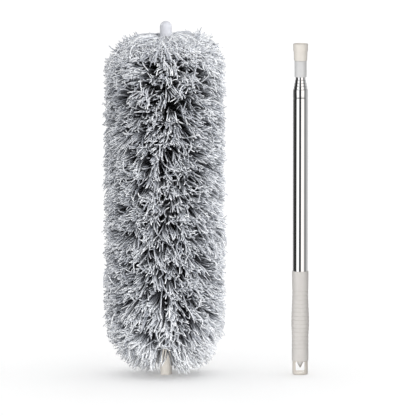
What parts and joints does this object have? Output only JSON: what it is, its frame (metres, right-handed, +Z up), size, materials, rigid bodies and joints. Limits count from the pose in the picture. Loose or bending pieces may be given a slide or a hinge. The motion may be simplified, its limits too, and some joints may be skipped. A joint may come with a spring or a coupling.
{
  "type": "extendable microfiber duster",
  "caption": "Telescopic steel pole with grip, hang loop and twist collar, and a bendable bottle-shaped microfibre pile head that plugs onto it; the two stand side by side.",
  "frame": {"origin": "on the floor under the middle of the pair's box", "axes": "+Z up along the pole and the head, +X from the head to the pole, +Y away from the viewer"},
  "size_m": [0.2638, 0.16, 0.4566],
  "materials": {
    "polished_steel": "polished stainless tube",
    "wire_steel": "drawn wire",
    "cream_grip": "fine textured moulding",
    "beige_moulding": "satin moulding",
    "white_moulding": "satin moulding",
    "core_plastic": "extruded tube",
    "microfibre": "loose locks of grey and white fibre"
  },
  "bodies": {
    "handle": {"outer_tube": "polished_steel", "grip_sleeve": "cream_grip", "end_plug": "white_moulding"},
    "loop": {"hang_loop": "beige_moulding"},
    "section_2": {"tube_2": "polished_steel", "bush_2": "white_moulding"},
    "section_3": {"tube_3": "polished_steel", "bush_3": "white_moulding"},
    "section_4": {"tube_4": "polished_steel", "bush_4": "white_moulding"},
    "section_5": {"tube_5": "polished_steel", "bush_5": "white_moulding", "pole_connector": "white_moulding"},
    "collar": {"lock_collar": "beige_moulding"},
    "head_1": {"head_stub": "beige_moulding", "core_tube_1": "core_plastic", "core_wire_1": "wire_steel", "pile_1": "microfibre"},
    "head_2": {"core_tube_2": "core_plastic", "core_wire_2": "wire_steel", "pile_2": "microfibre"},
    "head_3": {"core_tube_3": "core_plastic", "core_wire_3": "wire_steel", "pile_3": "microfibre"},
    "head_4": {"core_tube_4": "core_plastic", "core_wire_4": "wire_steel", "pile_4": "microfibre", "head_cap": "white_moulding"}
  },
  "joints": [
    {"name": "tube_2_slide", "type": "slide", "parent": "handle", "child": "section_2", "axis": [0, 0, 1], "range_m": [0, 0.314]},
    {"name": "tube_3_slide", "type": "slide", "parent": "section_2", "child": "section_3", "axis": [0, 0, 1], "range_m": [0, 0.308]},
    {"name": "tube_4_slide", "type": "slide", "parent": "section_3", "child": "section_4", "axis": [0, 0, 1], "range_m": [0, 0.302]},
    {"name": "tube_5_slide", "type": "slide", "parent": "section_4", "child": "section_5", "axis": [0, 0, 1], "range_m": [0, 0.296]},
    {"name": "loop_swivel", "type": "hinge", "parent": "handle", "child": "loop", "pos_m": [0.12058, 0, 0.0187], "axis": [0, 0, 1], "continuous": true},
    {"name": "collar_turn", "type": "hinge", "parent": "section_5", "child": "collar", "pos_m": [0.12058, 0, 0.407], "axis": [0, 0, 1], "range_deg": [0, 90]},
    {"name": "head_lift", "type": "slide", "parent": "handle", "child": "head_1", "axis": [0, 0, 1], "range_m": [0, 0.46]},
    {"name": "bend_1", "type": "hinge", "parent": "head_1", "child": "head_2", "pos_m": [-0.05192, 0, 0.135], "axis": [1, 0, 0], "range_deg": [-45, 45], "deforming": ["pile_1", "pile_2"]},
    {"name": "bend_2", "type": "hinge", "parent": "head_2", "child": "head_3", "pos_m": [-0.05192, 0, 0.235], "axis": [1, 0, 0], "range_deg": [-45, 45], "deforming": ["pile_2", "pile_3"]},
    {"name": "bend_3", "type": "hinge", "parent": "head_3", "child": "head_4", "pos_m": [-0.05192, 0, 0.335], "axis": [1, 0, 0], "range_deg": [-45, 45], "deforming": ["pile_3", "pile_4"]}
  ]
}
